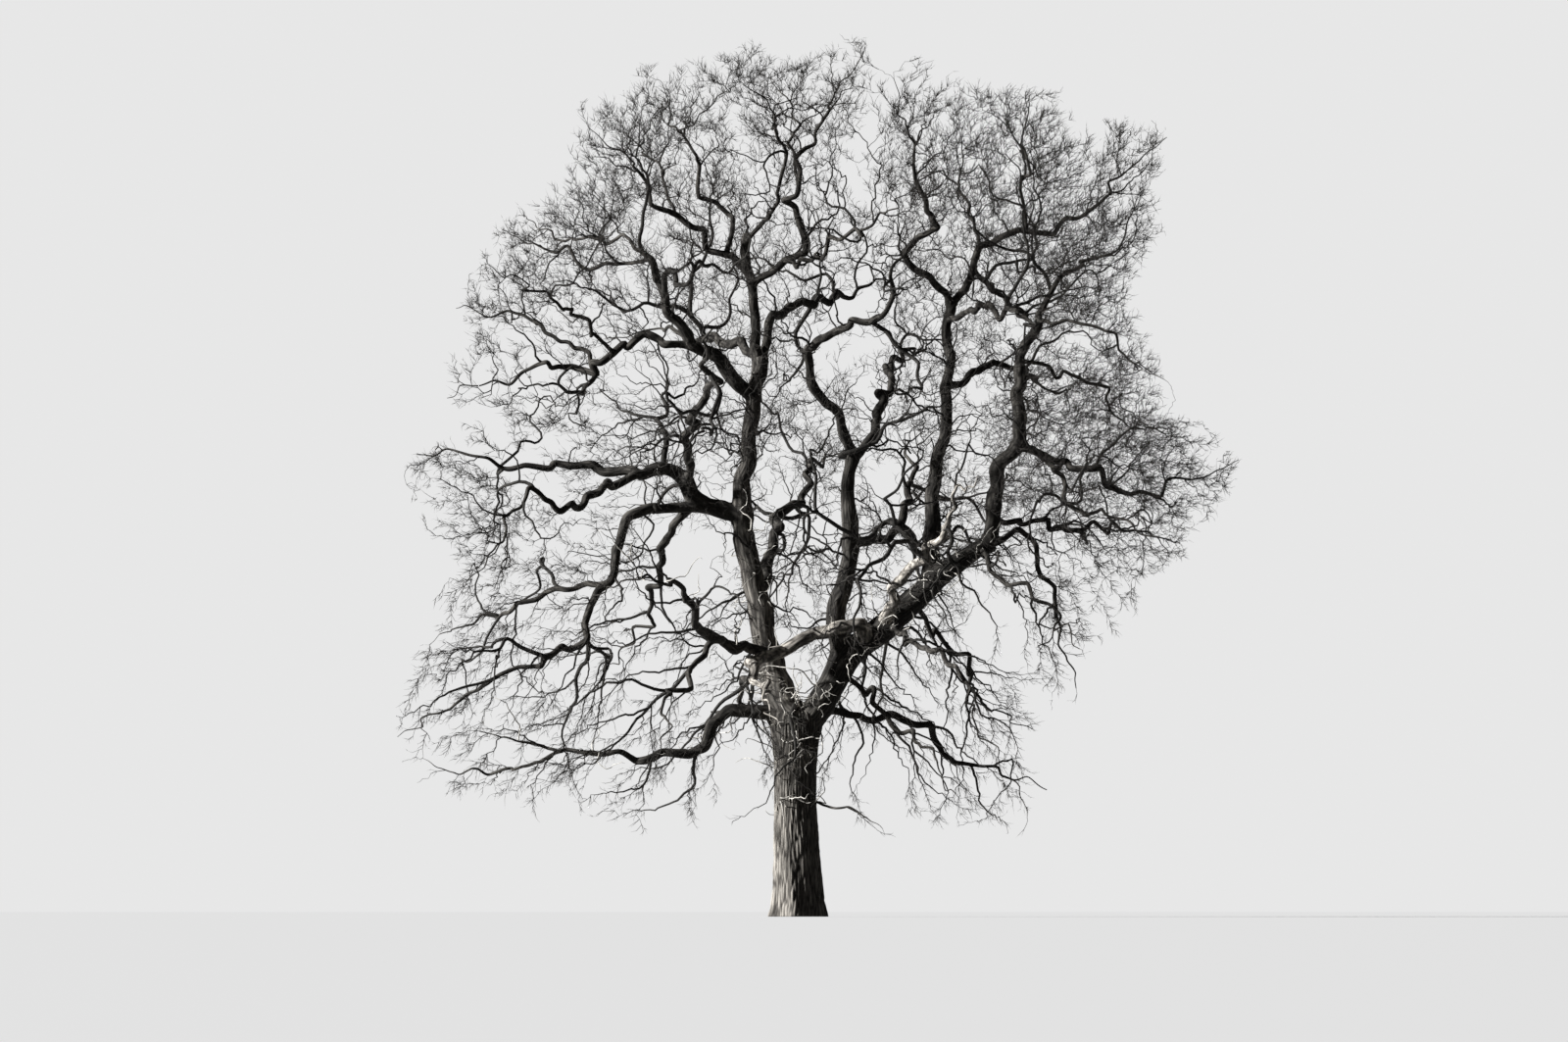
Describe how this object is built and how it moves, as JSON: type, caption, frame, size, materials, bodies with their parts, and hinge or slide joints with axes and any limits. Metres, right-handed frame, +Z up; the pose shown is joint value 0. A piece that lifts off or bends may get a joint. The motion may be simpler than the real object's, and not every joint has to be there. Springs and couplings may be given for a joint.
{
  "type": "bare winter tree",
  "caption": "Open-grown broad-crowned oak in winter, without leaves: trunk with root flare, forked leaders, boughs and limbs, on a flat cut at ground level.",
  "frame": {"origin": "centre of the flat cut under the trunk, at ground level", "axes": "+Z up the tree, +X to the right and +Y away from someone who stands in front of it"},
  "size_m": [19.3202, 16.4715, 20.0085],
  "materials": {
    "trunk_bark": "rough, deeply fissured bark",
    "limb_bark": "rough bark with shallow ridges",
    "twig_bark": "thin matte bark"
  },
  "bodies": {
    "root": {"trunk": "trunk_bark", "left_leader": "trunk_bark", "right_bough": "trunk_bark", "middle_stem": "limb_bark", "upright_stem": "limb_bark", "right_riser": "limb_bark", "left_bough": "limb_bark", "left_arch": "limb_bark", "drooping_bough": "limb_bark", "far_left_spray": "twig_bark", "left_low_spray": "twig_bark", "hanging_limb": "limb_bark", "left_inner_riser": "limb_bark", "low_left_bough": "limb_bark", "low_left_fork": "twig_bark", "left_front_limb": "limb_bark", "left_front_drop": "limb_bark", "high_left_bough": "limb_bark", "high_left_reach": "limb_bark", "mid_left_riser": "twig_bark", "mid_left_upper": "twig_bark", "upper_left_reach": "twig_bark", "upper_left_spray": "twig_bark", "left_back_limb": "limb_bark", "left_top": "limb_bark", "top_left_bough": "limb_bark", "upper_left_fork": "twig_bark", "top_left_riser": "twig_bark", "top_inner_fork": "twig_bark", "ring_limb": "limb_bark", "top_back_riser": "twig_bark", "right_crossing_limb": "limb_bark", "long_right_arm": "limb_bark", "middle_left_limb": "limb_bark", "middle_right_limb": "limb_bark", "middle_side_limb": "limb_bark", "upper_mid_limb": "limb_bark", "upper_right_limb": "limb_bark", "right_top_riser": "twig_bark", "right_top_back": "twig_bark", "right_front_arm": "limb_bark", "right_back_arm": "limb_bark", "right_shoulder": "limb_bark", "right_shoulder_spray": "twig_bark", "right_edge_spray": "twig_bark", "far_right_limb": "limb_bark", "right_low_front": "twig_bark", "right_level_limb": "limb_bark", "right_drop": "limb_bark", "right_under_spray": "twig_bark", "low_right_bough": "limb_bark", "low_right_front": "limb_bark", "right_front_drop": "limb_bark", "right_mid_drop": "limb_bark", "front_limb_left": "limb_bark", "front_limb_right": "limb_bark", "back_low_bough": "limb_bark", "back_right_bough": "limb_bark", "back_mid_bough": "limb_bark", "lowest_branch": "twig_bark"}
  },
  "joints": []
}
